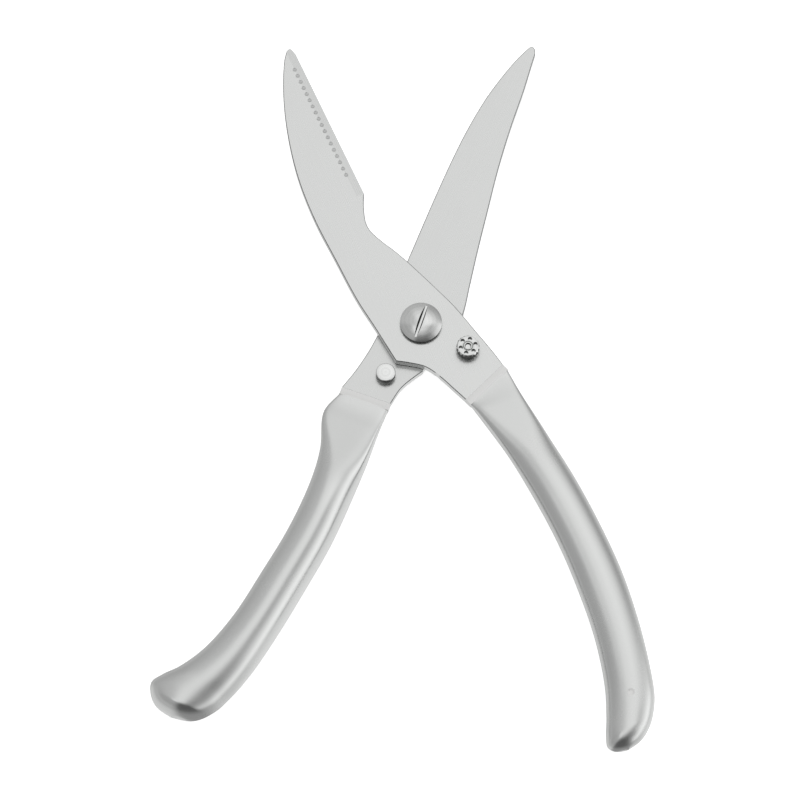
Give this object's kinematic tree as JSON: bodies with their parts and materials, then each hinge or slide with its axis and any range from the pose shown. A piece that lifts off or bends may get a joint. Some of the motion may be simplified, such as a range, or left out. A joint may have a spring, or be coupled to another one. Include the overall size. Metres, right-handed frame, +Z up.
{
  "type": "poultry shears",
  "caption": "Sprung poultry shears with a notched front blade, curved hollow steel handles, a slotted pivot screw and a turning knob that locks them shut.",
  "frame": {"origin": "centre of the pivot nut's flat outer face, on the pivot axis and in the plane that the shears lie on", "axes": "+Z up along the pivot axis, out of the slotted screw head; +Y towards the blades, halfway between the two open tips; front half on top, its blade to -X"},
  "size_m": [0.149, 0.2322, 0.0122],
  "materials": {
    "satin_steel": "satin-blasted stainless steel, softly rounded",
    "ground_steel": "fine cross-ground stainless blade steel",
    "weld_steel": "ground-flush stainless weld, slightly lighter",
    "turned_steel": "turned and polished stainless steel",
    "spring_steel": "bright drawn spring steel"
  },
  "bodies": {
    "back_half": {"back_blade": "ground_steel", "back_weld": "weld_steel", "back_handle_upper_shell": "satin_steel", "back_handle_lower_shell": "satin_steel", "back_vent_plug": "weld_steel", "stop_pin": "turned_steel", "pivot_screw": "turned_steel", "head_washer": "spring_steel", "pivot_bush": "turned_steel", "return_spring": "spring_steel", "nut_washer": "spring_steel", "pivot_nut": "turned_steel"},
    "front_half": {"front_blade": "ground_steel", "front_weld": "weld_steel", "front_handle_upper_shell": "satin_steel", "front_handle_lower_shell": "satin_steel", "front_vent_plug": "weld_steel", "lock_washer": "spring_steel"},
    "lock": {"lock_knob": "turned_steel", "lock_spindle": "turned_steel", "lock_cam": "turned_steel"}
  },
  "joints": [
    {"name": "blade_pivot", "type": "hinge", "parent": "back_half", "child": "front_half", "pos_m": [0, 0, 0.006], "axis": [0, 0, -1], "range_deg": [0, 44], "stiffness_Nm_per_rad": 0.6, "deforming": ["return_spring"]},
    {"name": "lock_turn", "type": "hinge", "parent": "front_half", "child": "lock", "pos_m": [0.01446, -0.00856, 0.0096], "axis": [0, 0, 1], "range_deg": [0, 90]}
  ]
}
